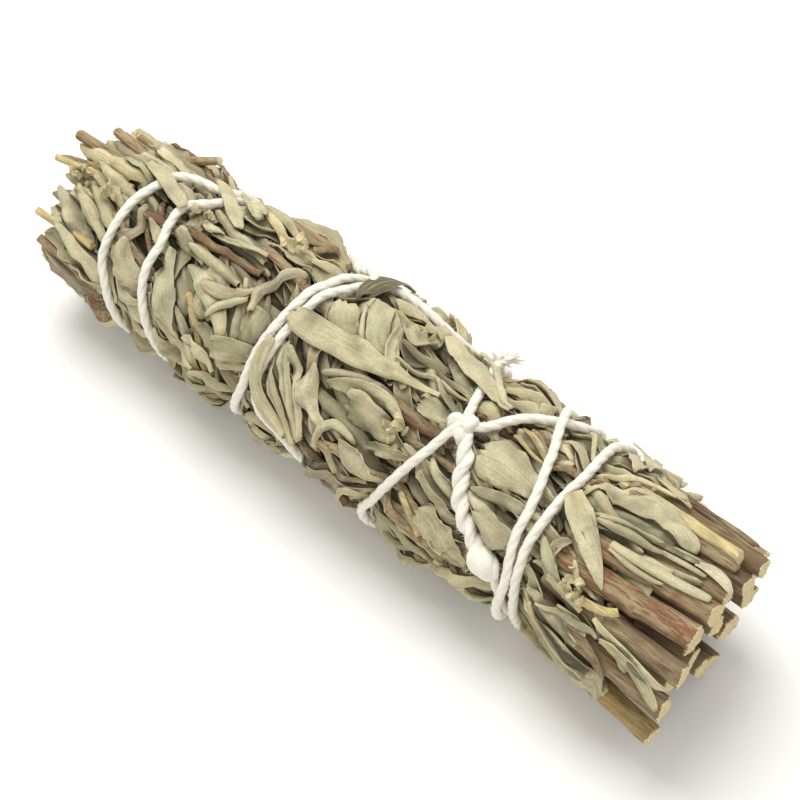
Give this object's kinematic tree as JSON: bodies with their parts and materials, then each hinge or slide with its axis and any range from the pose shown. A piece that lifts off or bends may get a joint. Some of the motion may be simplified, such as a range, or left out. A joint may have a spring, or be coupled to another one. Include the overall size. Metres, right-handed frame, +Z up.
{
  "type": "sage bunch",
  "caption": "Dried white sage bundle lying on its side, bound criss-cross with white cotton twine knotted on top, cut stems at one end.",
  "frame": {"origin": "on the surface it lies on, under the middle of its bounding box", "axes": "+X along the bundle towards the cut stem ends, +Z up"},
  "size_m": [0.128, 0.0334, 0.0298],
  "materials": {
    "leaves": "dry matt sage leaf",
    "stems": "dry matt bark with pale cut ends",
    "twine": "soft unbleached cotton"
  },
  "bodies": {
    "root": {"leaf_bundle": "leaves", "twine": "twine", "stem_01": "stems", "stem_02": "stems", "stem_03": "stems", "stem_04": "stems", "stem_05": "stems", "stem_06": "stems", "stem_07": "stems", "stem_08": "stems", "stem_09": "stems", "stem_10": "stems", "stem_11": "stems", "stem_12": "stems", "stem_13": "stems", "stem_14": "stems", "stem_15": "stems", "stem_16": "stems", "stem_17": "stems", "stem_18": "stems", "stem_19": "stems", "stem_20": "stems", "stem_21": "stems", "stem_22": "stems", "stem_23": "stems", "stem_24": "stems", "stem_25": "stems", "stem_26": "stems", "stem_27": "stems", "twig_01": "stems", "twig_02": "stems", "twig_03": "stems", "twig_04": "stems", "twig_05": "stems", "twig_06": "stems", "twig_07": "stems", "twig_08": "stems", "twig_09": "stems", "twig_10": "stems", "twig_11": "stems"}
  },
  "joints": []
}
